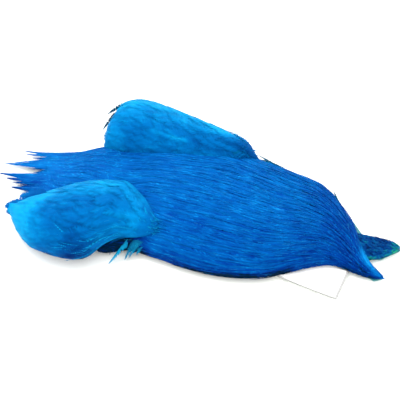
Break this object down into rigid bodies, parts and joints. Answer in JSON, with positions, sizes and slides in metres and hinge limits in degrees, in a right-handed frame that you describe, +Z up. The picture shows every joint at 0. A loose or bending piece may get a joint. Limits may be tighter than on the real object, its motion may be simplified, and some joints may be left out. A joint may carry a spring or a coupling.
{
  "type": "rooster cape",
  "caption": "Dried, dyed cockerel neck skin lying feather side up: long silky hackles fan out from a forked head end, with puffed patches of broad shoulder feathers beside them, on a card.",
  "frame": {"origin": "on the surface that the cape lies on, under the middle of its overall box", "axes": "+X towards the head end, -X towards the long hackle tips, +Z up out of the feather side; -Y is the bird's right side"},
  "size_m": [0.3146, 0.1628, 0.0364],
  "materials": {
    "hackle_blue": "silky dyed feather",
    "shoulder_blue": "soft dyed feather",
    "head_navy": "short glossy dyed feather",
    "skin_teal": "dried, dye-stained skin",
    "loose_teal": "soft dyed feather",
    "card_white": "matt white card"
  },
  "bodies": {
    "root": {"skin": "skin_teal", "neck_hackle": "hackle_blue", "right_shoulder_patch": "shoulder_blue", "left_shoulder_patch": "shoulder_blue", "right_head_point": "hackle_blue", "left_head_point": "head_navy", "loose_feather_1": "loose_teal", "loose_feather_2": "loose_teal", "backing_card": "card_white"}
  },
  "joints": []
}
